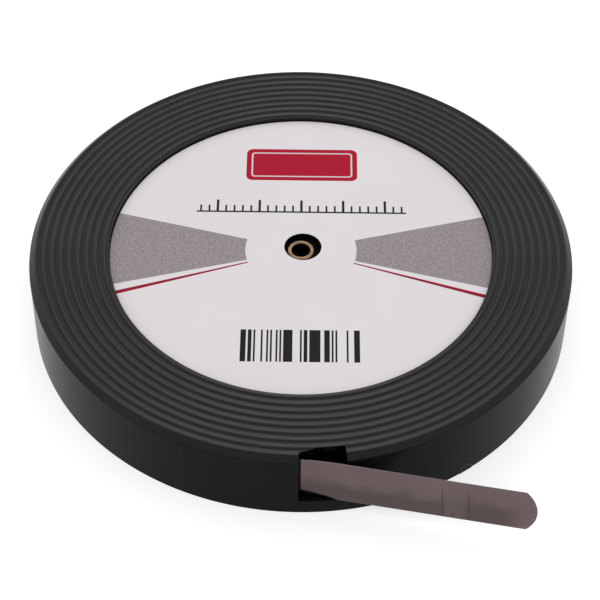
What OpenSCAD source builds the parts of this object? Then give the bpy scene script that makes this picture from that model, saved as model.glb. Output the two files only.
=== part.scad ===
// Roll of steel shim strip in a round moulded dispenser case, lying flat on its base.
// Millimetres, +Z up. The origin is the middle of the base, on the surface that it lies on.
// The strip leaves the case through a slot in its rim, on the -Y side.

/* [Strip] */
// Width of the strip
strip_w = 12.7; // [8:0.1:25]
// Thickness of the strip
strip_t = 0.08; // [0.05:0.01:0.3]
// Radial thickness of the wound coil
coil_build = 1.4; // [0.8:0.1:4]
// Length of the free end, from where it leaves the coil to its tip
tail_len = 63; // [40:1:120]
// Direction in which the coil lets go of the strip, from +X, in degrees
tail_angle = -100.4; // [-180:0.1:180]
// Radius of the rounded tip
tip_r = 9.7; // [7:0.1:14]
// Distance of the tip's foremost point below the middle of the strip
tip_drop = 0.45; // [0:0.05:0.6]

/* [Case] */
// Outer diameter of the case
case_d = 127; // [122:0.5:160]
// Thickness of the case's outer wall
wall = 1.8; // [1.2:0.1:2.6]
// Thickness of the case's floor
floor_t = 2.2; // [1.6:0.1:3]
// Height of the step in the floor that the coil lies on
seat_step = 1.8; // [0.8:0.1:3]
// Width of that step, inwards from the wall
seat_w = 5; // [4:0.5:10]
// Bevel around the foot
foot_bevel = 0.2; // [0.1:0.1:1]
// Radius of the post that carries the middle of the lid
post_r = 6.5; // [5.8:0.1:10]

/* [Lid] */
// Thickness of the lid's rim, from its seat on the wall to the crests
lid_rim_t = 1.6; // [1.5:0.1:3]
// Width and height of the bevel around the lid's outer edge
rim_bevel = 1.35; // [0.8:0.05:1.4]
// Spaces between the raised rings on the lid
ring_spaces = 8; // [4:1:8]
// Height of a ring above the land between the rings
ring_h = 0.2; // [0.1:0.05:0.4]
// Width of a ring at its crest
crest_w = 0.3; // [0.2:0.05:0.4]
// Width of a ring's slope towards the rim
slope_out = 0.5; // [0.2:0.05:0.55]
// Width of a ring's slope towards the label
slope_in = 0.8; // [0.3:0.05:0.85]
// Depth of the label's surface below the crests
label_depth = 1.3; // [0.8:0.1:1.8]
// Thickness of the lid's middle panel and of the dish wall around it
panel_t = 1.5; // [1.2:0.1:2.5]
// Height of the boss under the middle of the panel
hub_h = 2; // [1:0.1:4]

/* [Slot] */
// Distance inwards from the rim to which the lid is notched over the slot
notch_depth = 3.3; // [2.6:0.1:4]
// Radial depth of the slanted corner of the notch, on the coil's side
notch_corner = 1.2; // [0.5:0.1:2]
// Length of the slanted corner along the rim
notch_corner_run = 3.7; // [1:0.1:5]
// Gap along the wall between the strip and the slot's end on the coil's side
slot_lead = 1.6; // [1:0.1:4]
// Gap along the rim between the strip and the slot's other end
slot_run = 2.1; // [1:0.1:4]

/* [Label] */
// Diameter of the paper label
label_d = 89.5; // [70:0.5:92]
// Thickness of the paper
label_t = 0.12; // [0.08:0.01:0.3]
// Offset of the label's hole from the axis, to +X
label_hole_x = 0.45; // [0:0.05:0.8]
// Offset of that hole from the axis, to +Y
label_hole_y = 1.1; // [0:0.05:1.2]

/* [Eyelet] */
// Diameter of the eyelet's bore
eyelet_bore_d = 4.2; // [3:0.1:5]
// Wall of the eyelet's tube
eyelet_wall = 0.3; // [0.2:0.05:0.5]
// Diameter of the wire-like roll at either end of the eyelet
eyelet_roll_d = 1; // [0.7:0.05:1.2]
// Height of the upper roll above the label
eyelet_rise = 0.2; // [0.1:0.05:0.5]

/* [Clearances] */
// Gap between the coil and the wall around it
coil_gap = 1.3; // [0.8:0.1:4]
// Gap between the strip's upper edge and the lid
lid_gap = 0.3; // [0.1:0.1:1]
// Gap between the label and the rim of its recess
label_gap = 0.3; // [0.1:0.1:1]
// Least gap between the label's hole and the eyelet's roll
label_hole_gap = 0.07; // [0.05:0.01:0.5]
// Gap between the eyelet's tube and the holes that it passes through
eyelet_fit = 0.1; // [0.05:0.05:0.2]
// Depth to which the lower roll of the eyelet lies below the base
eyelet_sink = 0.1; // [0.05:0.05:0.4]
// Gap between the label's hole and the edge of the well under it
well_gap = 0.2; // [0.1:0.1:1]

/* [Marks] */
// Radius of the half-round gate mark at the foot of the wall
gate_r = 1.8; // [1:0.1:3]
// Height of the gate mark above the wall
gate_h = 0.1; // [0.05:0.05:0.6]
// Direction of the gate mark, from +X, in degrees
gate_angle = -54; // [-180:0.1:180]

/* [Hidden] */
$fn = 96;

// Heights, from the floor up
seat_z = floor_t + seat_step;
parting_z = seat_z + strip_w + lid_gap;
case_h = parting_z + lid_rim_t;
land_z = case_h - ring_h;
label_z = case_h - label_depth - label_t;
panel_z = label_z - panel_t;
hub_z = panel_z - hub_h;

// Radii, from the rim in
case_r = case_d / 2;
inner_r = case_r - wall;
coil_r = inner_r - coil_gap;
rim_crest_r = case_r - rim_bevel - crest_w / 2;
recess_r = label_d / 2 + label_gap;
first_ring_r = recess_r + slope_in + crest_w / 2;
ring_pitch = (rim_crest_r - first_ring_r) / ring_spaces;

// Middle of the case
tube_r = eyelet_bore_d / 2 + eyelet_wall;
hole_r = tube_r + eyelet_fit;
well_depth = eyelet_roll_d + eyelet_sink;
well_z = label_z + label_t + eyelet_rise - eyelet_roll_d;
roll_r = eyelet_roll_d / 2;
// The roll's inside stands back from the bore by this share of the tube's wall
roll_lip = eyelet_wall / 10;
roll_mid_r = eyelet_bore_d / 2 + roll_lip + roll_r;
label_hole_off = norm([label_hole_x, label_hole_y]);
label_hole_r = roll_mid_r + roll_r + label_hole_off + label_hole_gap;
well_r = label_hole_r + label_hole_off + well_gap;

// The strip's outer face lies this share of its thickness inside the coil's surface,
// so that the free end runs out of the coil at a slight angle
tail_sink = strip_t / 4;
tail_r = coil_r - tail_sink;

// The slot's two ends, where the strip crosses the wall
slot_start = tail_angle + acos(tail_r / inner_r) - slot_lead / inner_r * 180 / PI;
slot_end = tail_angle + acos(tail_r / case_r) + slot_run / case_r * 180 / PI;
notch_r = case_r - notch_depth;
corner_angle = slot_start + notch_corner_run / notch_r * 180 / PI;
// How far a cut runs past the surface that it opens
overcut = 2;

function polar(r, angle) = [r * cos(angle), r * sin(angle)];

// One ring's section, from its outer foot to its inner foot
function ring_section(r) = [
    [r + crest_w / 2 + slope_out, land_z], [r + crest_w / 2, case_h],
    [r - crest_w / 2, case_h], [r - crest_w / 2 - slope_in, land_z],
];

module case_base() {
    color("#1c1c1d") union() {
        difference() {
            rotate_extrude() polygon([
                [well_r, 0], [case_r - foot_bevel, 0], [case_r, foot_bevel],
                [case_r, parting_z], [inner_r, parting_z], [inner_r, seat_z],
                [inner_r - seat_w, seat_z], [inner_r - seat_w, floor_t],
                [post_r, floor_t], [post_r, hub_z],
                [hole_r, hub_z], [hole_r, well_depth], [well_r, well_depth],
            ]);
            wall_slot();
        }
        gate_mark();
    }
}

// The slot stands on the coil's seat and is open at the top of the wall.
module wall_slot() {
    translate([0, 0, seat_z]) linear_extrude(parting_z - seat_z + overcut) polygon([
        polar(inner_r - coil_gap / 2, slot_start), polar(case_r + overcut, slot_start),
        polar(case_r + overcut, slot_end), polar(inner_r - coil_gap / 2, slot_end),
    ]);
}

// The upper half of a flat disc that stands a little proud of the foot of the wall.
module gate_mark() {
    rotate(gate_angle) translate([case_r - wall / 2, 0, 0]) intersection() {
        rotate([0, 90, 0]) cylinder(r = gate_r, h = wall / 2 + gate_h);
        translate([0, -overcut - gate_r, 0])
            cube([wall + gate_h, 2 * (overcut + gate_r), overcut + gate_r]);
    }
}

module case_lid() {
    color("#232324") difference() {
        rotate_extrude() polygon(concat(
            [[hole_r, hub_z], [post_r, hub_z], [post_r, panel_z],
             [recess_r + panel_t, panel_z], [recess_r + panel_t, parting_z],
             [case_r, parting_z], [case_r, case_h - rim_bevel], [case_r - rim_bevel, case_h],
             [rim_crest_r - crest_w / 2, case_h], [rim_crest_r - crest_w / 2 - slope_in, land_z]],
            [for (i = [ring_spaces - 1:-1:0]) each ring_section(first_ring_r + i * ring_pitch)],
            [[recess_r, label_z], [well_r, label_z], [well_r, well_z], [hole_r, well_z]]
        ));
        lid_notch();
    }
}

module lid_notch() {
    translate([0, 0, parting_z - overcut]) linear_extrude(lid_rim_t + 2 * overcut) polygon([
        polar(case_r + overcut, slot_start), polar(notch_r + notch_corner, slot_start),
        polar(notch_r, corner_angle), polar(notch_r, slot_end), polar(case_r + overcut, slot_end),
    ]);
}

module label() {
    color("#dbd7d9") translate([0, 0, label_z]) difference() {
        cylinder(d = label_d, h = label_t);
        translate([label_hole_x, label_hole_y, -overcut])
            cylinder(r = label_hole_r, h = label_t + 2 * overcut);
    }
}

// A tube with a roll at either end. The lower roll lies in its well, the upper one looks out of its own.
module eyelet() {
    upper_z = well_z + roll_r;
    lower_z = well_depth - roll_r;
    color("#b98f4e") union() {
        translate([0, 0, lower_z]) difference() {
            cylinder(r = tube_r, h = upper_z - lower_z);
            translate([0, 0, -overcut])
                cylinder(d = eyelet_bore_d, h = upper_z - lower_z + 2 * overcut);
        }
        for (z = [lower_z, upper_z])
            rotate_extrude() translate([roll_mid_r, z]) circle(r = roll_r);
    }
}

// The coil is one turned ring, and its outermost turn runs on into the free end.
module steel_strip() {
    color("#7a706e") translate([0, 0, seat_z]) union() {
        difference() {
            cylinder(r = coil_r, h = strip_w);
            translate([0, 0, -overcut])
                cylinder(r = coil_r - coil_build, h = strip_w + 2 * overcut);
        }
        rotate(tail_angle + 90) translate([0, strip_t - tail_r, 0])
            rotate([90, 0, 0]) linear_extrude(strip_t) tail_outline();
    }
}

module tail_outline() {
    square([tail_len - tip_r, strip_w]);
    intersection() {
        translate([tail_len - tip_r, strip_w / 2 - tip_drop]) circle(r = tip_r);
        translate([tail_len - tip_r, 0]) square([tip_r, strip_w]);
    }
}

case_base();
case_lid();
label();
eyelet();
steel_strip();
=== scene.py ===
# %% [markdown]
# # A roll of shim strip in its dispenser case
# Shim strip is thin steel of one exact thickness. It is sold as a coil in a round moulded case, and its
# free end is drawn out through a slot in the rim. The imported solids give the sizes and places. This
# lesson models each piece again with the rounded edges that moulding, rolling and winding leave, gives
# each its finish, and lights the roll on a pale floor.

# %% Load the solids
import math

import bpy
from mathutils import Matrix, Vector


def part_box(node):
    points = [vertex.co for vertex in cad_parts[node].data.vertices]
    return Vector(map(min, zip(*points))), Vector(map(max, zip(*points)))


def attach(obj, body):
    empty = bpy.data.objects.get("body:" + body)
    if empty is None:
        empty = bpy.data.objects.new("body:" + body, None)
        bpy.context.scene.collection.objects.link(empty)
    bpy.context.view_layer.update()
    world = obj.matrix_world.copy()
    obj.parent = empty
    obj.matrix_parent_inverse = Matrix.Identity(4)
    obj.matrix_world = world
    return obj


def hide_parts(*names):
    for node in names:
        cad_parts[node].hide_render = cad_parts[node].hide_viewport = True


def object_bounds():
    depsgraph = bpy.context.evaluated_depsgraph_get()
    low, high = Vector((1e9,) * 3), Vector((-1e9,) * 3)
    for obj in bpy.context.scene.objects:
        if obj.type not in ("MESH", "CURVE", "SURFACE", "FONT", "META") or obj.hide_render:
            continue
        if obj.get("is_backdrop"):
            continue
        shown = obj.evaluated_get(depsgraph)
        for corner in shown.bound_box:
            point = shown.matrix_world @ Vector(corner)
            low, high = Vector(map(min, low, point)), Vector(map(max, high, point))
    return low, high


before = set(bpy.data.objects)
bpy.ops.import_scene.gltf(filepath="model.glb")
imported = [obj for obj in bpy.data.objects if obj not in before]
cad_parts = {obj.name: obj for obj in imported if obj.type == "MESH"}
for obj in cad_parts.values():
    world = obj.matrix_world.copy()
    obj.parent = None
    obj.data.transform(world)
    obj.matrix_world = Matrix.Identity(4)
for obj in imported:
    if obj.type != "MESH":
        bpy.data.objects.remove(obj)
cad_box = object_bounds()
MM = 0.001
print("nodes:", ", ".join(sorted(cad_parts)))
print("box of the solids:", [round(side / MM, 2) for corner in cad_box for side in corner], "mm")

# %% [markdown]
# ## The camera
# The picture looks down on the roll at about 47 degrees from half a metre away. Guessing a camera by eye
# is slow, so its place and lens were fitted to the circles of the case. It comes first, because every
# piece is then judged through it.

# %% Camera
CAMERA_PLACE = Vector((-0.09, -325.04, 351.81)) * MM
CAMERA_ELEVATION = math.radians(47.265)
CAMERA_ROLL = math.radians(0.6525)
CAMERA_LENS = 119.21

bpy.ops.object.camera_add()
camera = bpy.context.object
camera.matrix_world = (
    Matrix.Translation(CAMERA_PLACE)
    @ Matrix.Rotation(math.pi / 2 - CAMERA_ELEVATION, 4, "X")
    @ Matrix.Rotation(CAMERA_ROLL, 4, "Z")
)
camera.data.lens = CAMERA_LENS
bpy.context.scene.camera = camera
print("camera", round(CAMERA_PLACE.length / MM), "mm from the middle of the base")

# %% [markdown]
# ## How the turned pieces are made
# Lid, base and eyelet are round, so each is the spin of one outline. A lathe could be imitated with a
# Screw modifier, but drawing it point by point shows every corner: start from one point, extrude it from
# corner to corner, bevel the corners that are rounded on the real thing, and spin the outline about the
# axis.

# %% Outline tools
TOUCH = 0.001 * MM
SPIN_STEPS = 288


def start_point(name, place):
    """A new mesh of one selected point, in edit mode, ready to be extruded."""
    bpy.ops.object.select_all(action="DESELECT")
    bpy.ops.mesh.primitive_plane_add(size=MM, calc_uvs=False, location=(0, 0, 0))
    piece = bpy.context.object
    piece.name = piece.data.name = name
    bpy.ops.object.mode_set(mode="EDIT")
    bpy.ops.mesh.select_all(action="SELECT")
    bpy.ops.mesh.merge(type="CENTER")
    bpy.ops.transform.translate(value=place)
    return piece


def draw_outline(name, points):
    """Extrude one point along the others, which leaves a chain of edges in edit mode."""
    piece = start_point(name, points[0])
    for here, there in zip(points, points[1:]):
        bpy.ops.mesh.extrude_region_move(TRANSFORM_OT_translate={"value": there - here})
    return piece


def round_corners(piece, corners, width, segments):
    """Bevel the points of the outline that lie at these corners."""
    bpy.ops.mesh.select_all(action="DESELECT")
    bpy.ops.object.mode_set(mode="OBJECT")
    for point in piece.data.vertices:
        point.select = any((point.co - corner).length < TOUCH for corner in corners)
    bpy.ops.object.mode_set(mode="EDIT")
    bpy.ops.mesh.bevel(offset=width, affect="VERTICES", segments=segments)


def close_mesh():
    """Merge the points that lie on each other and turn every face outwards."""
    bpy.ops.mesh.select_all(action="SELECT")
    bpy.ops.mesh.remove_doubles(threshold=TOUCH)
    bpy.ops.mesh.normals_make_consistent(inside=False)
    bpy.ops.object.mode_set(mode="OBJECT")


def spin_outline(steps=SPIN_STEPS):
    """Turn the outline once about the case's axis, then close the seam."""
    bpy.ops.mesh.select_all(action="SELECT")
    bpy.ops.mesh.spin(steps=steps, angle=2 * math.pi, center=(0, 0, 0), axis=(0, 0, 1))
    close_mesh()


def section(r, z):
    """A corner of an outline, at radius r and height z."""
    return Vector((r, 0, z))


def polar(r, angle, z):
    """A point at radius r, an angle in degrees from +X, and height z."""
    return Vector((r * math.cos(math.radians(angle)), r * math.sin(math.radians(angle)), z))


print("outlines are spun in", SPIN_STEPS, "steps")

# %% [markdown]
# ## Sizes taken from the solids
# The heights and the large radii are read from the solids' boxes, so a change there carries over. The
# small sizes that a box can't show, such as a ring's width, are named here.

# %% Shared sizes
lid_low, lid_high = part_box("case_lid")
base_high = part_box("case_base")[1]
label_low, label_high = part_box("label")
eyelet_low, eyelet_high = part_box("eyelet")
strip_low, strip_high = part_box("steel_strip")

case_r = lid_high.x
case_h = lid_high.z
parting_z = base_high.z
hub_z = lid_low.z
label_z = label_low.z
seat_z = strip_low.z

WALL = 1.8 * MM
COIL_GAP = 1.3 * MM
FLOOR = 2.2 * MM
SEAT_WIDTH = 5 * MM
POST_R = 6.5 * MM
HOLE_R = 2.5 * MM
WELL_R = 5.777 * MM
LID_WELL = 0.68 * MM
BASE_WELL = 1.1 * MM
inner_r = case_r - WALL
print("case", round(2 * case_r / MM, 1), "mm across and", round(case_h / MM, 1), "mm high")

# %% [markdown]
# ## The lid
# The lid is one moulding: a flange with raised rings, a dish for the label, and a boss around the
# eyelet. The rings could be bump in a material, but their lines would then vanish at the outline and
# under grazing light, so they are drawn in the outline. Each ring has a short slope towards the rim and
# a longer one towards the label, which is why its lines look different on the near and the far side.

# %% Lid outline
RING_SPACES = 8
RING_H = 0.2 * MM
CREST_W = 0.3 * MM
SLOPE_OUT = 0.5 * MM
SLOPE_IN = 0.8 * MM
RIM_BEVEL = 1.35 * MM
LABEL_GAP = 0.3 * MM
PANEL = 1.5 * MM

land_z = case_h - RING_H
recess_r = label_high.x + LABEL_GAP
dish_r = recess_r + PANEL
rim_crest_r = case_r - RIM_BEVEL - CREST_W / 2
first_ring_r = recess_r + SLOPE_IN + CREST_W / 2
ring_pitch = (rim_crest_r - first_ring_r) / RING_SPACES
ring_radii = [first_ring_r + i * ring_pitch for i in range(RING_SPACES)]

rim_corner = section(case_r, case_h - RIM_BEVEL)
crests = [section(case_r - RIM_BEVEL, case_h), section(rim_crest_r - CREST_W / 2, case_h)]
ring_feet = [section(rim_crest_r - CREST_W / 2 - SLOPE_IN, land_z)]
lid_outline = [
    section(HOLE_R, hub_z), section(POST_R, hub_z), section(POST_R, label_z - PANEL),
    section(dish_r, label_z - PANEL), section(dish_r, parting_z),
    section(case_r, parting_z), rim_corner, *crests, *ring_feet,
]
for r in reversed(ring_radii):
    ring_crest = [section(r + CREST_W / 2, case_h), section(r - CREST_W / 2, case_h)]
    ring_foot = [section(r + CREST_W / 2 + SLOPE_OUT, land_z), section(r - CREST_W / 2 - SLOPE_IN, land_z)]
    lid_outline += [ring_foot[0], *ring_crest, ring_foot[1]]
    crests += ring_crest
    ring_feet += ring_foot
recess_edge = [ring_feet.pop(), section(WELL_R, label_z)]
lid_outline += [
    section(recess_r, label_z), recess_edge[1],
    section(WELL_R, label_z - LID_WELL), section(HOLE_R, label_z - LID_WELL), lid_outline[0],
]
print("lid outline:", len(lid_outline), "corners, rings every", round(ring_pitch / MM, 2), "mm")

# %% Lid spun from its outline
EDGE_ROUND = 0.12 * MM
CREST_ROUND = 0.1 * MM
RING_FOOT_ROUND = 0.05 * MM

lid = draw_outline("lid_shell", lid_outline)
round_corners(lid, [rim_corner], EDGE_ROUND, segments=3)
round_corners(lid, crests, CREST_ROUND, segments=2)
round_corners(lid, ring_feet, RING_FOOT_ROUND, segments=2)
round_corners(lid, recess_edge, EDGE_ROUND, segments=3)
spin_outline()
print("lid:", len(lid.data.polygons), "faces")

# %% [markdown]
# ## The notch over the slot
# The lid stops short over the slot, so that a thumb can reach the strip. The gap has a slanted corner
# on the coil's side. It is cut with a Boolean, as a saw would: the cutter is drawn, filled, extruded
# upwards, and deleted once it has cut.

# %% Cutter tools and the notch
SLOT_START = -90.0
SLOT_END = -80.5
NOTCH_DEPTH = 3.3 * MM
NOTCH_CORNER = 1.2 * MM
NOTCH_CORNER_RUN = 3.7 * MM
OVERCUT = 2 * MM


def prism(name, corners, height):
    """A closed outline, filled and extruded upwards."""
    piece = draw_outline(name, [*corners, corners[0]])
    bpy.ops.mesh.select_all(action="SELECT")
    bpy.ops.mesh.remove_doubles(threshold=TOUCH)
    bpy.ops.mesh.edge_face_add()
    bpy.ops.mesh.extrude_region_move(TRANSFORM_OT_translate={"value": (0, 0, height)})
    close_mesh()
    return piece


def select_only(piece):
    """Make a piece the only selected one, and the active one."""
    bpy.ops.object.select_all(action="DESELECT")
    piece.select_set(True)
    bpy.context.view_layer.objects.active = piece


def apply_modifier(piece, kind, **settings):
    """Give the active piece a modifier with these settings, and apply it."""
    bpy.ops.object.modifier_add(type=kind)
    modifier = piece.modifiers[-1]
    for name, value in settings.items():
        setattr(modifier, name, value)
    bpy.ops.object.modifier_apply(modifier=modifier.name)


def cut(piece, tool):
    """Take the tool's shape out of the piece and delete the tool."""
    select_only(piece)
    apply_modifier(piece, "BOOLEAN", object=tool)
    bpy.data.objects.remove(tool)


notch_r = case_r - NOTCH_DEPTH
corner_angle = SLOT_START + math.degrees(NOTCH_CORNER_RUN / notch_r)
notch_z = parting_z - OVERCUT
notch = prism("notch_cutter", [
    polar(case_r + OVERCUT, SLOT_START, notch_z), polar(notch_r + NOTCH_CORNER, SLOT_START, notch_z),
    polar(notch_r, corner_angle, notch_z), polar(notch_r, SLOT_END, notch_z),
    polar(case_r + OVERCUT, SLOT_END, notch_z),
], case_h - parting_z + 2 * OVERCUT)
cut(lid, notch)
print("lid with its notch:", len(lid.data.polygons), "faces")

# %% [markdown]
# ## The base
# The base is a tray with a step for the coil, a post that carries the lid, and a slot in its wall. Its
# upper edge and the lid's lower edge are sharp, because the two mouldings meet so closely that no groove
# shows between them. Only the foot and the corners inside the tray are rounded.

# %% Base spun from its outline
FOOT_ROUND = 0.15 * MM
TRAY_ROUND = 0.3 * MM

foot = section(case_r, 0)
tray_corners = [
    section(inner_r, seat_z), section(inner_r - SEAT_WIDTH, seat_z),
    section(inner_r - SEAT_WIDTH, FLOOR), section(POST_R, FLOOR),
]
base_outline = [
    section(WELL_R, 0), foot, section(case_r, parting_z), section(inner_r, parting_z),
    *tray_corners, section(POST_R, hub_z),
    section(HOLE_R, hub_z), section(HOLE_R, BASE_WELL), section(WELL_R, BASE_WELL), section(WELL_R, 0),
]
base = draw_outline("base_shell", base_outline)
round_corners(base, [foot], FOOT_ROUND, segments=3)
round_corners(base, tray_corners, TRAY_ROUND, segments=3)
spin_outline()
print("base:", len(base.data.polygons), "faces")

# %% Slot cut into the base
slot_reach = inner_r - COIL_GAP / 2
slot = prism("slot_cutter", [
    polar(slot_reach, SLOT_START, seat_z), polar(case_r + OVERCUT, SLOT_START, seat_z),
    polar(case_r + OVERCUT, SLOT_END, seat_z), polar(slot_reach, SLOT_END, seat_z),
], parting_z - seat_z + OVERCUT)
cut(base, slot)
print("base with its slot:", len(base.data.polygons), "faces")

# %% [markdown]
# ## The gate mark
# Plastic enters the mould at a gate, which leaves a small mark. Here it is half a disc that stands a
# hair's breadth proud of the foot of the wall: a cylinder laid on its side and cut off level with the
# floor. A Boolean would leave long faces that shade badly on the smooth wall, so the disc is let into
# the wall and joined to the base as it is.

# %% Gate mark added to the base
GATE_R = 1.8 * MM
GATE_H = 0.01 * MM
GATE_ANGLE = -54.0
GATE_SIDES = 48

bpy.ops.object.select_all(action="DESELECT")
bpy.ops.mesh.primitive_cylinder_add(
    vertices=GATE_SIDES, radius=GATE_R, depth=WALL + 2 * GATE_H,
    location=polar(case_r - WALL / 2, GATE_ANGLE, 0), rotation=(0, math.pi / 2, math.radians(GATE_ANGLE)),
)
bpy.ops.object.mode_set(mode="EDIT")
bpy.ops.mesh.select_all(action="SELECT")
bpy.ops.mesh.bisect(plane_co=(0, 0, 0), plane_no=(0, 0, 1), use_fill=True, clear_inner=True)
bpy.ops.object.mode_set(mode="OBJECT")
base.select_set(True)
bpy.context.view_layer.objects.active = base
bpy.ops.object.join()
print("base with its gate mark:", len(base.data.polygons), "faces")

# %% [markdown]
# ## The eyelet
# An eyelet is a drawn brass tube whose ends are rolled over to grip what they pass through. Two tori on
# a cylinder would look cast, so the sheet's middle line is drawn with a curl at either end, spun, and
# given the sheet's thickness with Solidify.

# %% Eyelet
BRASS = 0.28 * MM
BORE_R = 2.1 * MM
CURL_STEPS = 14
CURL_END = -60
EYELET_STEPS = 96

tube_r = BORE_R + BRASS / 2
curl_r = (eyelet_high.x - BORE_R - BRASS) / 2
curl_mid_r = tube_r + curl_r
upper_z = eyelet_high.z - curl_r - BRASS / 2
lower_z = eyelet_low.z + curl_r + BRASS / 2
curl_angles = [math.radians(180 + (CURL_END - 180) * i / CURL_STEPS) for i in range(CURL_STEPS + 1)]


def curl(middle_z, way):
    """The points of a rolled end, from the tube outwards; way is 1 at the top and -1 at the bottom."""
    return [section(curl_mid_r + curl_r * math.cos(a), middle_z + way * curl_r * math.sin(a))
            for a in curl_angles]


eyelet = draw_outline("eyelet_shell", [*reversed(curl(lower_z, -1)), *curl(upper_z, 1)])
spin_outline(EYELET_STEPS)
apply_modifier(eyelet, "SOLIDIFY", thickness=BRASS, offset=0)
print("eyelet:", len(eyelet.data.polygons), "faces, bore", round(2 * BORE_R / MM, 2), "mm")

# %% [markdown]
# ## The strip
# The strip is five metres of steel, 12.7 mm wide and 0.08 mm thick. In the case it lies in about
# thirteen turns, and its last turn runs straight out through the slot. A stack of rings would show a
# break at the slot, so one long flat grid is wound up by formula, column by column. Its free end runs
# straight to a rounded tip, but for a slight bow where it springs against the slot's edge. Solidify then
# gives it its thickness.

# %% Strip: the winding
STRIP_LENGTH = 5.0
STRIP_T = 0.08 * MM
TAIL_LENGTH = 63 * MM
TAIL_ANGLE = -100.4
TIP_R = 9.7 * MM
TIP_DROP = 0.45 * MM
TIP_ZONE = 5 * MM
COIL_BUILD = 1.4 * MM
TURN_STEPS = 96
TAIL_STEPS = 48
ROWS = 14
CROWN = 0.12 * MM
BOW = 0.36 * MM
BOW_LENGTH = 20 * MM

strip_w = strip_high.z - strip_low.z
coil_r = inner_r - COIL_GAP
outer_mid_r = coil_r - STRIP_T * 3 / 4
inner_mid_r = coil_r - COIL_BUILD + STRIP_T / 2
turns = (STRIP_LENGTH - TAIL_LENGTH) / (math.pi * (outer_mid_r + inner_mid_r))
coil_steps = round(turns * TURN_STEPS)
columns = coil_steps + TAIL_STEPS
tail_out = polar(1, TAIL_ANGLE, 0)
tail_along = polar(1, TAIL_ANGLE + 90, 0)


def tail_reach(column, height):
    """Length of the free end up to a column; only the last columns follow the rounded tip."""
    reach = TAIL_LENGTH * (column - coil_steps) / TAIL_STEPS
    tip_start = TAIL_LENGTH - TIP_ZONE
    tip = TAIL_LENGTH - TIP_R + math.sqrt(TIP_R ** 2 - (height + TIP_DROP) ** 2)
    return min(reach, tip_start) + max(reach - tip_start, 0) * (tip - tip_start) / TIP_ZONE


def strip_distance(column, height):
    """Length of strip from its inner end to a point."""
    coil_length = STRIP_LENGTH - TAIL_LENGTH
    if column <= coil_steps:
        return coil_length * column / coil_steps
    return coil_length + tail_reach(column, height)


def wound(column, height):
    """Where a point of the strip lies: its column along the strip, its height above the strip's middle."""
    z = seat_z + strip_w / 2 + height
    if column <= coil_steps:
        share = column / coil_steps
        angle = TAIL_ANGLE - 360 * (coil_steps - column) / TURN_STEPS
        return polar(inner_mid_r + (outer_mid_r - inner_mid_r) * share, angle, z)
    share = (column - coil_steps) / TAIL_STEPS
    reach = tail_reach(column, height)
    hollow = CROWN * share * (2 * height / strip_w) ** 2
    bow = BOW * math.sin(math.pi * min(reach / BOW_LENGTH, 1)) ** 2
    place = tail_out * (outer_mid_r - hollow + bow) + tail_along * reach
    return Vector((place.x, place.y, z))


print("strip:", round(turns, 2), "turns between", round(inner_mid_r / MM, 2), "and",
      round(outer_mid_r / MM, 2), "mm")

# %% Strip: the grid wound up
bpy.ops.object.select_all(action="DESELECT")
bpy.ops.mesh.primitive_grid_add(x_subdivisions=columns, y_subdivisions=ROWS, size=1, location=(0, 0, 0))
strip = bpy.context.object
strip.name = strip.data.name = "strip_ribbon"

uv = strip.data.uv_layers.active
for corner in strip.data.loops:
    flat = strip.data.vertices[corner.vertex_index].co
    column = round((flat.x + 0.5) * columns)
    uv.data[corner.index].uv = (strip_distance(column, flat.y * strip_w) / STRIP_LENGTH, flat.y + 0.5)
for point in strip.data.vertices:
    point.co = wound(round((point.co.x + 0.5) * columns), point.co.y * strip_w)

bpy.ops.object.mode_set(mode="EDIT")
close_mesh()
apply_modifier(strip, "SOLIDIFY", thickness=STRIP_T, offset=0)
print("strip:", len(strip.data.polygons), "faces")

# %% [markdown]
# ## Smooth surfaces with crisp edges
# The spun meshes are fine enough for their outline, but flat shading would still show their facets.
# Shading smooth by angle keeps the cut edges crisp and rounds the rest. On lid and base a small rounding
# would still bend the shading of the large face beside it, so a Weighted Normal modifier lets the larger
# face decide.

# %% Shading
SMOOTH_ANGLE = math.radians(32)

for piece in (lid, base, eyelet, strip):
    select_only(piece)
    bpy.ops.object.shade_smooth_by_angle(angle=SMOOTH_ANGLE)
    if piece in (lid, base):
        apply_modifier(piece, "WEIGHTED_NORMAL", keep_sharp=True)
    print(piece.name, "shaded smooth")

# %% [markdown]
# ## Node tools
# Every finish below is a small tree of nodes. Adding each node and link by hand takes many lines, so
# short helpers do it. Some add a node or do arithmetic, some make masks, which are 1 where an effect is
# and 0 elsewhere, and some mix colours.

# %% Node helpers
def add_node(tree, kind, inputs=None, **settings):
    """A node with its settings, and its inputs either linked or set."""
    node = tree.nodes.new("ShaderNode" + kind)
    for name, value in settings.items():
        setattr(node, name, value)
    for name, value in (inputs or {}).items():
        if isinstance(value, bpy.types.NodeSocket):
            tree.links.new(value, node.inputs[name])
        else:
            node.inputs[name].default_value = value
    return node


def maths(tree, operation, *values):
    """The output of a Math node."""
    return add_node(tree, "Math", dict(enumerate(values)), operation=operation).outputs[0]


def vectors(tree, operation, *values):
    """The output of a Vector Math node."""
    node = add_node(tree, "VectorMath", dict(enumerate(values)), operation=operation)
    return node.outputs["Value" if operation in ("LENGTH", "DOT_PRODUCT") else "Vector"]


def part(tree, vector, axis):
    """The X, Y or Z part of a vector."""
    return add_node(tree, "SeparateXYZ", {"Vector": vector}).outputs[axis]


print("node helpers ready")

# %% Mask helpers
def ramp(tree, value, low, high):
    """0 below low, 1 above high, and smooth between them."""
    node = add_node(tree, "MapRange", {"Value": value, "From Min": low, "From Max": high},
                    interpolation_type="SMOOTHSTEP")
    return node.outputs["Result"]


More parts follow.
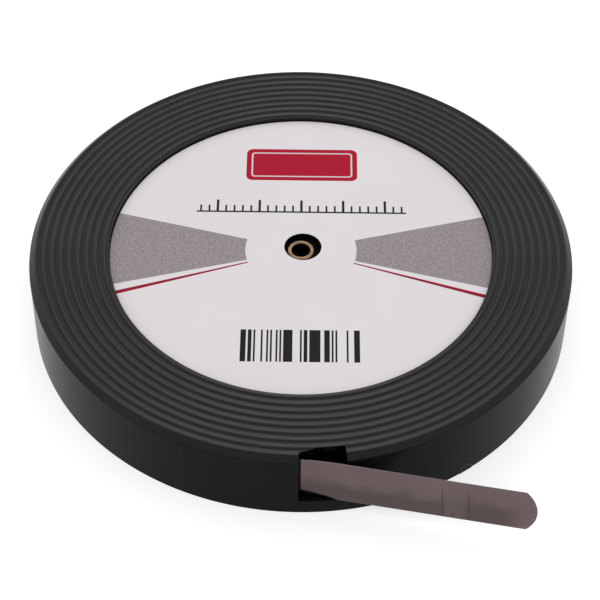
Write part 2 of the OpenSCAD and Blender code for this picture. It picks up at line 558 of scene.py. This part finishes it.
def band(tree, value, middle, ends, full):
    """1 within full of a middle value, 0 beyond ends, and smooth between them."""
    off = maths(tree, "ABSOLUTE", maths(tree, "SUBTRACT", value, middle))
    return ramp(tree, off, ends, full)


def all_of(tree, first, *others):
    """The product of masks, which is 1 where each of them is 1."""
    for mask in others:
        first = maths(tree, "MULTIPLY", first, mask)
    return first


def any_of(tree, first, *others):
    """The highest of masks, which is 1 where one of them is 1."""
    for mask in others:
        first = maths(tree, "MAXIMUM", first, mask)
    return first


print("mask helpers ready")

# %% Colour and material helpers
BUMP_DEPTH = 0.02 * MM


def colour(red, green, blue):
    """A colour as red, green, blue and full alpha, in linear light."""
    return (red, green, blue, 1.0)


def grey(level):
    """A colour of three equal parts."""
    return colour(level, level, level)


def blend(tree, mask, first, second):
    """The first colour where the mask is 0, the second where it is 1."""
    node = add_node(tree, "Mix", {0: mask, 6: first, 7: second}, data_type="RGBA")
    return node.outputs[2]


def overlay(tree, under, mask, strength, over):
    """A colour laid over another where the mask is 1, at a strength from 0 to 1."""
    return blend(tree, maths(tree, "MULTIPLY", mask, strength), under, over)


def new_material(name):
    """A material with an empty Principled BSDF, and its tree."""
    material = bpy.data.materials.new(name)
    material.use_nodes = True
    return material, material.node_tree, material.node_tree.nodes["Principled BSDF"]


def roughen(tree, shader, height, strength):
    """Bump of this strength, from a height."""
    bump = add_node(tree, "Bump", {"Height": height, "Strength": strength, "Distance": BUMP_DEPTH})
    tree.links.new(bump.outputs["Normal"], shader.inputs["Normal"])


print("colour and material helpers ready")

# %% [markdown]
# ## Shared effects
# Plastic, paper, brass and steel all have a fine grain. All but the paper carry hairline scratches, and
# the plastic also gathers a little dust. Each effect is one node group with its own inputs, placed in
# every material that needs it, so that a change is made once.

# %% Group: fine grain
def new_group(name, inputs, outputs):
    """An empty node group with named float or vector sockets."""
    group = bpy.data.node_groups.new(name, "ShaderNodeTree")
    for socket, default in inputs.items():
        kind = "NodeSocketVector" if socket == "Vector" else "NodeSocketFloat"
        made = group.interface.new_socket(socket, in_out="INPUT", socket_type=kind)
        if default is not None:
            made.default_value = default
    for socket in outputs:
        group.interface.new_socket(socket, in_out="OUTPUT", socket_type="NodeSocketFloat")
    entry = group.nodes.new("NodeGroupInput")
    leave = group.nodes.new("NodeGroupOutput")
    return group, entry.outputs, leave.inputs


grain_group, grain_in, grain_out = new_group(
    "fine_grain", {"Vector": None, "Scale": 4000.0, "Cloud Scale": 60.0}, ["Height", "Cloud"]
)
fine = add_node(grain_group, "TexNoise", {
    "Vector": grain_in["Vector"], "Scale": grain_in["Scale"], "Detail": 3.0, "Roughness": 0.6,
})
cloud = add_node(grain_group, "TexNoise", {
    "Vector": grain_in["Vector"], "Scale": grain_in["Cloud Scale"], "Detail": 4.0, "Roughness": 0.55,
})
grain_group.links.new(fine.outputs["Fac"], grain_out["Height"])
grain_group.links.new(ramp(grain_group, cloud.outputs["Fac"], 0.3, 0.7), grain_out["Cloud"])
print("group:", grain_group.name)

# %% Group: hairline scratches
WARP = (0.02, 0.02, 0.02)
SCRATCH_ENDS, SCRATCH_FULL = 0.012, 0.002

scratch_group, scratch_in, scratch_out = new_group(
    "hairline_scratches", {"Vector": None, "Scale": 90.0, "Amount": 0.5}, ["Mask"]
)
warp = add_node(scratch_group, "TexNoise", {"Vector": scratch_in["Vector"], "Scale": 35.0, "Detail": 1.0})
warped = vectors(scratch_group, "MULTIPLY_ADD", warp.outputs["Color"], WARP, scratch_in["Vector"])
cells = add_node(scratch_group, "TexVoronoi", {
    "Vector": warped, "Scale": scratch_in["Scale"],
}, feature="DISTANCE_TO_EDGE")
scratch = ramp(scratch_group, cells.outputs["Distance"], SCRATCH_ENDS, SCRATCH_FULL)
patches = add_node(scratch_group, "TexNoise", {
    "Vector": scratch_in["Vector"], "Scale": 120.0, "Detail": 2.0,
})
spared = maths(scratch_group, "MULTIPLY_ADD", scratch_in["Amount"], -0.4, 0.85)
broken = maths(scratch_group, "GREATER_THAN", patches.outputs["Fac"], spared)
scratch_group.links.new(all_of(scratch_group, scratch, broken), scratch_out["Mask"])
print("group:", scratch_group.name)

# %% Group: settled dust
SPECK_ENDS, SPECK_FULL = 0.16, 0.05

dust_group, dust_in, dust_out = new_group(
    "settled_dust", {"Vector": None, "Scale": 700.0, "Amount": 0.5}, ["Mask"]
)
specks = add_node(dust_group, "TexVoronoi", {"Vector": dust_in["Vector"], "Scale": dust_in["Scale"]})
speck = ramp(dust_group, specks.outputs["Distance"], SPECK_ENDS, SPECK_FULL)
chosen = add_node(dust_group, "SeparateColor", {"Color": specks.outputs["Color"]})
wanted = maths(dust_group, "MULTIPLY", dust_in["Amount"], 0.1)
rare = maths(dust_group, "LESS_THAN", chosen.outputs["Red"], wanted)
upwards = part(dust_group, add_node(dust_group, "NewGeometry").outputs["Normal"], "Z")
speck = all_of(dust_group, speck, rare, ramp(dust_group, upwards, 0.3, 0.9))
dust_group.links.new(speck, dust_out["Mask"])
print("group:", dust_group.name)

# %% [markdown]
# ## Black moulded plastic
# The case is satin black: a dark base that shows light mainly by reflecting it. A mirror-black would
# show sharp lamps, and a chalky black would lose the rings, so the roughness is middling and varies in
# faint clouds. The crests of the rings are rubbed a little paler, which also paints their highlight, and
# the edges of the label's recess and of the gate mark get a painted highlight; all are worked out from
# the place of a point. The eyelet's well, the slot's shaded faces and part of its sill get a near-black
# painted shade in the same way. The wall is duller than the lid, and so is the lid's narrow outer edge.

# %% Places on the case
def place_group(tree, group, **inputs):
    """A node that places a shared group, with its inputs linked or set."""
    node = tree.nodes.new("ShaderNodeGroup")
    node.node_tree = group
    for name, value in inputs.items():
        socket = node.inputs[name.replace("_", " ")]
        if isinstance(value, bpy.types.NodeSocket):
            tree.links.new(value, socket)
        else:
            socket.default_value = value
    return node.outputs


def object_place(tree):
    """The place of a point in the object's own frame."""
    return add_node(tree, "TexCoord").outputs["Object"]


def axis_distance(tree, place):
    """The distance of a point from the case's axis."""
    return vectors(tree, "LENGTH", vectors(tree, "MULTIPLY", place, (1, 1, 0)))


print("places are measured from the case's axis")

# %% Rubbed crests and painted edge highlights
# Each pair says how far off an effect ends, and within what distance it is full.
CREST_WEAR_AND_HIGHLIGHT = (0.2 * MM, 0.08 * MM)
CREST_WEAR_AND_HIGHLIGHT_DEPTH = (0.12 * MM, 0.04 * MM)
RECESS_EDGE_HIGHLIGHT = (0.32 * MM, 0.15 * MM)
RECESS_EDGE_HIGHLIGHT_DEPTH = (0.25 * MM, 0.1 * MM)
GATE_EDGE_HIGHLIGHT = (0.32 * MM, 0.12 * MM)
GATE_EDGE_HIGHLIGHT_R = GATE_R + 0.12 * MM


def crest_wear_and_highlight_mask(tree, place):
    """1 on the crests of the lid's rings, rubbed paler with a painted highlight, and on the edge of the
    label's recess, a painted highlight.
    """
    r = axis_distance(tree, place)
    height = part(tree, place, "Z")
    # Crests: rubbed wear, with a painted highlight.
    step = maths(tree, "DIVIDE", maths(tree, "SUBTRACT", r, first_ring_r), ring_pitch)
    near = band(tree, step, maths(tree, "ROUND", step), *(reach / ring_pitch for reach in CREST_WEAR_AND_HIGHLIGHT))
    crest = all_of(tree, near, ramp(tree, height, *(case_h - depth for depth in CREST_WEAR_AND_HIGHLIGHT_DEPTH)))
    # Edge of the label's recess: a painted highlight.
    edge = all_of(tree, band(tree, r, recess_r, *RECESS_EDGE_HIGHLIGHT),
                  ramp(tree, height, *(land_z - depth for depth in RECESS_EDGE_HIGHLIGHT_DEPTH)))
    return any_of(tree, crest, edge)


def gate_edge_highlight(tree, place):
    """Painted highlight: 1 on the edge of the gate mark."""
    along = vectors(tree, "DOT_PRODUCT", place, polar(1, GATE_ANGLE + 90, 0))
    out = vectors(tree, "DOT_PRODUCT", place, polar(1, GATE_ANGLE, 0))
    spot = add_node(tree, "CombineXYZ", {"X": along, "Y": part(tree, place, "Z")}).outputs["Vector"]
    line = band(tree, vectors(tree, "LENGTH", spot), GATE_EDGE_HIGHLIGHT_R, *GATE_EDGE_HIGHLIGHT)
    return all_of(tree, line, maths(tree, "GREATER_THAN", out, case_r - WALL / 2))


print("masks for rubbed edges ready")

# %% Painted shade in recesses
FADE = 0.05 * MM
SILL_DEPTH = 0.8 * MM
SILL_SHADE = 0.45


def painted_shade_mask(tree, place):
    """Painted shade: 1 in the eyelet's well and on faces of the slot that look front or right, less on its
    sill.
    """
    r = axis_distance(tree, place)
    normal = add_node(tree, "NewGeometry").outputs["Normal"]
    upwards = part(tree, normal, "Z")
    in_well = ramp(tree, r, WELL_R + 4 * FADE, WELL_R)
    upright = ramp(tree, maths(tree, "ABSOLUTE", upwards), 0.3, 0.2)
    turned = any_of(tree, ramp(tree, part(tree, normal, "Y"), -0.6, -0.8),
                    ramp(tree, part(tree, normal, "X"), 0.6, 0.8))
    in_notch = all_of(tree, ramp(tree, r, notch_r - 2 * FADE, notch_r - FADE),
                      ramp(tree, r, case_r - FADE, case_r - 2 * FADE), upright, turned)
    sill = all_of(tree, band(tree, part(tree, place, "Z"), seat_z, 2 * FADE, FADE),
                  ramp(tree, upwards, 0.8, 0.9), ramp(tree, r, case_r, case_r - SILL_DEPTH), SILL_SHADE)
    return any_of(tree, in_well, in_notch, sill)


print("mask for recesses ready")

# %% Case plastics
LID_GLOSS = 0.19
WALL_GLOSS = 0.04


def case_plastic(name, gloss, edge_wear_and_highlight, edge_wear_and_highlight_colour):
    """Satin black plastic with this specular level, with a paler line along one kind of edge, which holds
    a painted highlight and, on the lid's crests, wear too; the recesses get painted shade.
    """
    material, tree, shader = new_material(name)
    place = object_place(tree)
    grain = place_group(tree, grain_group, Vector=place, Scale=5200.0, Cloud_Scale=70.0)
    scratches = place_group(tree, scratch_group, Vector=place, Scale=75.0, Amount=0.6)["Mask"]
    dust = place_group(tree, dust_group, Vector=place, Scale=520.0, Amount=0.25)["Mask"]
    recess = painted_shade_mask(tree, place)
    black = blend(tree, grain["Cloud"], colour(0.0078, 0.0075, 0.0078), colour(0.0094, 0.0091, 0.0093))
    # Paler line along one kind of edge: on the lid's crests rubbed wear with a painted highlight, on the
    # edges of the label's recess and of the gate mark a painted highlight.
    black = overlay(tree, black, edge_wear_and_highlight(tree, place), 0.5, edge_wear_and_highlight_colour)
    black = overlay(tree, black, scratches, 0.2, grey(0.05))
    black = overlay(tree, black, dust, 0.4, grey(0.2))
    # Painted shade: where the mask is 1, the plastic is made near-black metal, which reflects almost
    # nothing.
    black = blend(tree, recess, black, grey(0.003))
    tree.links.new(black, shader.inputs["Base Color"])
    tree.links.new(recess, shader.inputs["Metallic"])
    roughness = maths(tree, "MULTIPLY_ADD", grain["Cloud"], 0.05, 0.23)
    roughness = maths(tree, "MULTIPLY_ADD", recess, 0.5, roughness)
    tree.links.new(roughness, shader.inputs["Roughness"])
    shader.inputs["Specular IOR Level"].default_value = gloss
    roughen(tree, shader, grain["Height"], 0.12)
    return material


lid.data.materials.append(case_plastic("lid_plastic", LID_GLOSS, crest_wear_and_highlight_mask, grey(0.042)))
# The gate mark's edge gets a painted highlight.
base.data.materials.append(case_plastic("base_plastic", WALL_GLOSS, gate_edge_highlight, grey(0.1)))
lid.data.materials.append(base.data.materials[0])
for face in lid.data.polygons:
    if face.center.xy.length > case_r - FADE:
        face.material_index = 1
print("plastics:", lid.data.materials[0].name, base.data.materials[0].name)

# %% [markdown]
# ## Brass
# The eyelet is stamped from brass sheet. New brass is yellow, but age browns it. So a warm metal is mixed
# with a browner one by the cloud of the grain, and in the bore, below the top of the roll, both give way
# to a near-black painted shade.

# %% Eyelet brass
def eyelet_brass():
    """Browned brass, with painted shade in the bore."""
    material, tree, shader = new_material("eyelet_brass")
    place = object_place(tree)
    grain = place_group(tree, grain_group, Vector=place, Scale=3000.0, Cloud_Scale=420.0)
    scratches = place_group(tree, scratch_group, Vector=place, Scale=700.0, Amount=0.8)["Mask"]
    crown = ramp(tree, part(tree, place, "Z"), upper_z + 0.2 * MM, upper_z + 0.38 * MM)
    outside = ramp(tree, axis_distance(tree, place), curl_mid_r, curl_mid_r + 0.2 * MM)
    metal = blend(tree, grain["Cloud"], colour(0.24, 0.15, 0.09), colour(0.32, 0.21, 0.135))
    metal = blend(tree, scratches, metal, colour(0.2, 0.12, 0.06))
    # Painted shade: the brass is near-black in the bore and on the inner half of the curls, all but the
    # top of the upper roll.
    metal = blend(tree, any_of(tree, crown, outside), colour(0.02, 0.01, 0.005), metal)
    tree.links.new(metal, shader.inputs["Base Color"])
    shader.inputs["Metallic"].default_value = 1.0
    tree.links.new(maths(tree, "MULTIPLY_ADD", grain["Cloud"], -0.12, 0.36), shader.inputs["Roughness"])
    roughen(tree, shader, grain["Height"], 0.1)
    return material


eyelet.data.materials.append(eyelet_brass())
print("brass:", eyelet.data.materials[0].name)

# %% [markdown]
# ## Cold-rolled steel
# Rolling leaves fine lines along the strip, and slitting leaves brighter edges, painted paler still as the
# highlight that the upper edge catches. The lines follow the strip round the coil, so they are read from
# its
# UV map, which runs along its length. Near the tip there are two faint creases across the strip and a
# short nick at its lower edge. The lower part of the strip has painted shade for the darker floor that it
# reflects, fading towards the tip, and a painted highlight lightens it between the creases.

# %% Strip steel: creases and painted shade
CREASES_FROM_TIP = (20.46 * MM, 14.74 * MM)
CREASE_LEAN = 0.07
CREASE_W = 0.26 * MM
NICK_FROM_TIP = 17.9 * MM
NICK_TOP = (2.2 * MM, 1.6 * MM)


def strip_marks(tree, from_tip, leaning, height):
    """1 on the creases and the nick."""
    nick = band(tree, from_tip, NICK_FROM_TIP, CREASE_W, CREASE_W / 3)
    marks = all_of(tree, nick, ramp(tree, height, *NICK_TOP))
    for distance in CREASES_FROM_TIP:
        crease = band(tree, leaning, distance, CREASE_W, CREASE_W / 3)
        crease = all_of(tree, crease, ramp(tree, height, strip_w * 0.85, strip_w * 0.6))
        marks = any_of(tree, marks, crease)
    return marks


def painted_floor_shade_mask(tree, from_tip, leaning, off_middle, stains):
    """Painted shade: 1 on the lower part of the strip, with a cloudy border, fading towards the tip, and
    less between the creases, where a painted highlight lightens it.
    """
    first, second = CREASES_FROM_TIP
    border = maths(tree, "MULTIPLY_ADD", stains, 2.4 * MM, off_middle)
    painted_light_between_creases = all_of(tree, ramp(tree, leaning, second, second + 2 * MM),
                  ramp(tree, leaning, first, first - 0.3 * MM))
    return all_of(tree, ramp(tree, border, 2.7 * MM, -2.2 * MM), ramp(tree, from_tip, 1 * MM, 8 * MM),
                  maths(tree, "MULTIPLY_ADD", painted_light_between_creases, -0.5, 1.0))


print("creases", [round(distance / MM, 1) for distance in CREASES_FROM_TIP], "mm from the tip")

# %% Strip steel: the metal
def strip_steel():
    """Dull rolled steel with fine lines along it, painted shade on its lower part, and painted highlights
    along its edges and between the creases.
    """
    material, tree, shader = new_material("strip_steel")
    share = add_node(tree, "UVMap", uv_map=uv_name).outputs["UV"]
    real = vectors(tree, "MULTIPLY", share, (STRIP_LENGTH, strip_w, 1))
    height = part(tree, real, "Y")
    from_tip = maths(tree, "SUBTRACT", STRIP_LENGTH, part(tree, real, "X"))
    off_middle = maths(tree, "SUBTRACT", height, strip_w / 2)
    leaning = maths(tree, "MULTIPLY_ADD", off_middle, -CREASE_LEAN, from_tip)
    drawn_out = vectors(tree, "MULTIPLY", real, (0.02, 1, 1))
    lines = place_group(tree, grain_group, Vector=drawn_out, Scale=4200.0, Cloud_Scale=900.0)
    stains = place_group(tree, grain_group, Vector=real, Scale=1500.0, Cloud_Scale=110.0)["Cloud"]
    scratches = place_group(tree, scratch_group, Vector=real, Scale=160.0, Amount=0.7)["Mask"]
    marks = strip_marks(tree, from_tip, leaning, height)
    # Paler band along both edges: slitting burnishes them, and the band is painted paler still as the
    # highlight that the upper edge catches.
    slit_edge_and_highlight = ramp(tree, maths(tree, "ABSOLUTE", off_middle),
                     strip_w / 2 - 0.35 * MM, strip_w / 2 - 0.05 * MM)
    painted_floor_shade = painted_floor_shade_mask(tree, from_tip, leaning, off_middle, stains)

    steel = blend(tree, stains, colour(0.128, 0.09, 0.092), colour(0.143, 0.103, 0.105))
    # Painted shade: the lower part of the strip is darker, for the shaded floor that it reflects.
    steel = blend(tree, painted_floor_shade, steel, colour(0.086, 0.062, 0.06))
    steel = overlay(tree, steel, lines["Cloud"], 0.2, colour(0.11, 0.092, 0.088))
    steel = overlay(tree, steel, slit_edge_and_highlight, 0.4, colour(0.16, 0.13, 0.13))
    steel = overlay(tree, steel, scratches, 0.3, colour(0.08, 0.066, 0.063))
    steel = overlay(tree, steel, marks, 0.65, colour(0.05, 0.04, 0.04))
    tree.links.new(steel, shader.inputs["Base Color"])
    shader.inputs["Metallic"].default_value = 1.0
    tree.links.new(maths(tree, "MULTIPLY_ADD", lines["Cloud"], 0.06, 0.15), shader.inputs["Roughness"])
    roughen(tree, shader, maths(tree, "SUBTRACT", lines["Height"], marks), 0.15)
    return material


uv_name = strip.data.uv_layers.active.name
strip.data.materials.append(strip_steel())
print("steel:", strip.data.materials[0].name)

# %% [markdown]
# ## The printed label
# The label is smooth white paper with a generic print: a red bar, a black scale of ticks, two grey
# sectors with red rules, and a block of upright bars. It could be cut from coloured meshes, but ink has
# no thickness, so the print is made of masks on the solid's own surface. One group makes a mask of a
# rounded box, and the rest is arithmetic on the place of a point.

# %% Group: printed box
INK_EDGE = 0.05 * MM

box_group, box_in, box_out = new_group("printed_box", {
    "Vector": None, "Middle X": 0.0, "Middle Y": 0.0,
    "Half Width": 0.01, "Half Height": 0.01, "Corner": 0.0,
}, ["Mask"])
over = []
for axis, middle, half in (("X", "Middle X", "Half Width"), ("Y", "Middle Y", "Half Height")):
    off = maths(box_group, "SUBTRACT", part(box_group, box_in["Vector"], axis), box_in[middle])
    straight = maths(box_group, "SUBTRACT", box_in[half], box_in["Corner"])
    over.append(maths(box_group, "SUBTRACT", maths(box_group, "ABSOLUTE", off), straight))
outside = [maths(box_group, "MAXIMUM", side, 0.0) for side in over]
corner = add_node(box_group, "CombineXYZ", {"X": outside[0], "Y": outside[1]}).outputs["Vector"]
inside = maths(box_group, "MINIMUM", maths(box_group, "MAXIMUM", *over), 0.0)
distance = maths(box_group, "ADD", vectors(box_group, "LENGTH", corner), inside)
distance = maths(box_group, "SUBTRACT", distance, box_in["Corner"])
box_group.links.new(ramp(box_group, distance, INK_EDGE, -INK_EDGE), box_out["Mask"])
print("group:", box_group.name)

# %% Label print: masks
BARE_SHARE = 0.46
SECTOR_EDGE = 0.1


def printed_box(tree, place, x, y, width, height, round_r=0.0):
    """The mask of a box with its middle at x, y, all in millimetres."""
    return place_group(tree, box_group, Vector=place, Middle_X=x * MM, Middle_Y=y * MM,
                       Half_Width=width * MM / 2, Half_Height=height * MM / 2, Corner=round_r * MM)["Mask"]


def repeated_ticks(tree, place, spacing, width):
    """1 on thin upright lines at this spacing across the label, both in metres."""
    step = maths(tree, "DIVIDE", part(tree, place, "X"), spacing)
    return band(tree, step, maths(tree, "ROUND", step),
                (width / 2 + INK_EDGE) / spacing, (width / 2 - INK_EDGE) / spacing)


def random_bars(tree, place, module):
    """Upright bars: each module of the width, in metres, is inked or bare at random."""
    number = maths(tree, "FLOOR", maths(tree, "DIVIDE", part(tree, place, "X"), module))
    chance = add_node(tree, "TexWhiteNoise", {"W": number}, noise_dimensions="1D").outputs["Value"]
    return maths(tree, "GREATER_THAN", chance, BARE_SHARE)


def sector(tree, angle, middle, half):
    """1 within a number of degrees of a direction from the label's middle."""
    return band(tree, angle, math.radians(middle),
                math.radians(half + SECTOR_EDGE), math.radians(half - SECTOR_EDGE))


print("print masks ready")

# %% Label print: the paper
PRINT_FROM = 13.0 * MM
RED = colour(0.42, 0.012, 0.034)
DARK_RED = colour(0.3, 0.014, 0.035)
BLACK = colour(0.02, 0.018, 0.02)
PALE = colour(0.66, 0.62, 0.64)


def label_paper():
    """Smooth white paper with its print."""
    material, tree, shader = new_material("label_paper")
    place = object_place(tree)
    angle = maths(tree, "ARCTAN2", part(tree, place, "Y"), maths(tree, "ABSOLUTE", part(tree, place, "X")))
    grain = place_group(tree, grain_group, Vector=place, Scale=2600.0, Cloud_Scale=45.0)
    mottle = place_group(tree, grain_group, Vector=place, Scale=1800.0, Cloud_Scale=1500.0)["Cloud"]
    beyond = ramp(tree, axis_distance(tree, place), PRINT_FROM, PRINT_FROM + 2 * INK_EDGE)

    ink = blend(tree, grain["Cloud"], colour(0.75, 0.716, 0.737), colour(0.766, 0.735, 0.752))
    panel = blend(tree, mottle, colour(0.262, 0.228, 0.25), colour(0.35, 0.316, 0.338))
    frame_line = maths(tree, "SUBTRACT", printed_box(tree, place, 0, 29, 24.6, 8.6, 0.9),
                       printed_box(tree, place, 0, 29, 23.8, 7.8, 0.6))
    ticks = repeated_ticks(tree, place, 2 * MM, 0.45 * MM)
    long_ticks = repeated_ticks(tree, place, 10 * MM, 0.6 * MM)
    bars = random_bars(tree, place, 0.42 * MM)
    for mask, tone in (
        (all_of(tree, sector(tree, angle, 0, 15), beyond), panel),
        (all_of(tree, sector(tree, angle, -18.5, 0.7), beyond), DARK_RED),
        (printed_box(tree, place, 0, 29, 27, 11, 1.6), RED),
        (frame_line, PALE),
        (printed_box(tree, place, 0, 12.6, 50, 0.5), BLACK),
        (all_of(tree, ticks, printed_box(tree, place, 0, 13.7, 50, 2.2)), BLACK),
        (all_of(tree, long_ticks, printed_box(tree, place, 0, 14.6, 52, 4.0)), BLACK),
        (all_of(tree, bars, printed_box(tree, place, 0, -30, 27, 9.6)), BLACK),
    ):
        ink = blend(tree, mask, ink, tone)

    tree.links.new(ink, shader.inputs["Base Color"])
    shader.inputs["Roughness"].default_value = 0.7
    shader.inputs["Specular IOR Level"].default_value = 0.05
    roughen(tree, shader, grain["Height"], 0.08)
    return material


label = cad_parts["label"]
label.data.materials.clear()
label.data.materials.append(label_paper())
print("label:", label.data.materials[0].name)

# %% [markdown]
# ## Light and floor
# The picture is taken in a white tent: light comes from everywhere, and one lamp behind the roll gives
# the lands between the rings their sheen. A bare sun would draw a hard shadow that isn't there, so the
# sky does most of the work, darker on the camera's side, as it is where a photographer stands. A tall
# narrow lamp behind and a weak one at either side do the rest. The floor is pale and keeps a faint
# shadow. It is lifted to white for the camera and for reflections.

# %% Floor
PAINT_TONE = 0.6
PAINT_LIFT = 0.6


def background_rays(tree):
    """1 for rays from the camera, from reflections and through glass."""
    path = add_node(tree, "LightPath").outputs
    seen = maths(tree, "MAXIMUM", path["Is Camera Ray"], path["Is Glossy Ray"])
    return maths(tree, "MAXIMUM", seen, path["Is Transmission Ray"])


def floor_paint():
    """Matt pale paint that looks white."""
    material, tree, shader = new_material("floor_paint")
    shader.inputs["Base Color"].default_value = grey(PAINT_TONE)
    shader.inputs["Roughness"].default_value = 0.9
    shader.inputs["Specular IOR Level"].default_value = 0.0
    shader.inputs["Emission Color"].default_value = grey(1.0)
    lift = maths(tree, "MULTIPLY", background_rays(tree), PAINT_LIFT)
    tree.links.new(lift, shader.inputs["Emission Strength"])
    return material


bpy.ops.object.select_all(action="DESELECT")
bpy.ops.mesh.primitive_plane_add(size=8, location=(0, 0, 0))
floor = bpy.context.object
floor.name = "floor"
floor.data.materials.append(floor_paint())
floor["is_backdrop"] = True
print("floor:", floor.data.materials[0].name)

# %% Sky
SKY_LIGHT = 0.95
FRONT_SHADE = 0.25

world = bpy.data.worlds.new("studio")
bpy.context.scene.world = world
world.use_nodes = True
tent = world.node_tree
sky = tent.nodes["Background"]
sky.inputs["Color"].default_value = grey(1.0)
lift = maths(tent, "MULTIPLY_ADD", background_rays(tent), 1 - SKY_LIGHT, SKY_LIGHT)
towards = part(tent, add_node(tent, "TexCoord").outputs["Generated"], "Y")
shade = maths(tent, "MULTIPLY_ADD", ramp(tent, towards, -0.4, -0.75), -FRONT_SHADE, 1.0)
tent.links.new(maths(tent, "MULTIPLY", lift, shade), sky.inputs["Strength"])
bpy.context.scene.view_settings.view_transform = "Standard"
print("sky:", world.name)

# %% Lamps
def soft_lamp(name, place, width, height, power):
    """A large rectangular lamp that faces the roll."""
    bpy.ops.object.light_add(type="AREA", location=place)
    lamp = bpy.context.object
    lamp.name = name
    lamp.data.shape = "RECTANGLE"
    lamp.data.size = width
    lamp.data.size_y = height
    lamp.data.energy = power
    lamp.rotation_euler = (-Vector(place)).to_track_quat("-Z", "Y").to_euler()


soft_lamp("lamp_behind", (0.0, 1.08, 0.88), width=0.18, height=1.0, power=1.05)
for name, side in (("lamp_left", -0.81), ("lamp_right", 0.81)):
    soft_lamp(name, (side, 0.96, 0.61), width=0.4, height=0.4, power=0.36)
print("lamps ready")

# %% [markdown]
# ## Handing over
# Each new piece rides on the case and stands for its solid, which is hidden. The box of the dressed roll
# is printed and kept beside the box of the solids, so that the two can be compared.

# %% Finish
STANDS_FOR = (
    (lid, "case_lid", "case_plastic"),
    (base, "case_base", "case_plastic"),
    (eyelet, "eyelet", "eyelet_brass"),
    (strip, "steel_strip", "strip_steel"),
)
for piece, node, slot_name in STANDS_FOR:
    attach(piece, "root")
    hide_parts(node)

boxes = {"cad": cad_box, "visual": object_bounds()}
sides = [round(side / MM, 2) for corner in boxes["visual"] for side in corner]
print("box of the dressed roll:", sides, "mm")
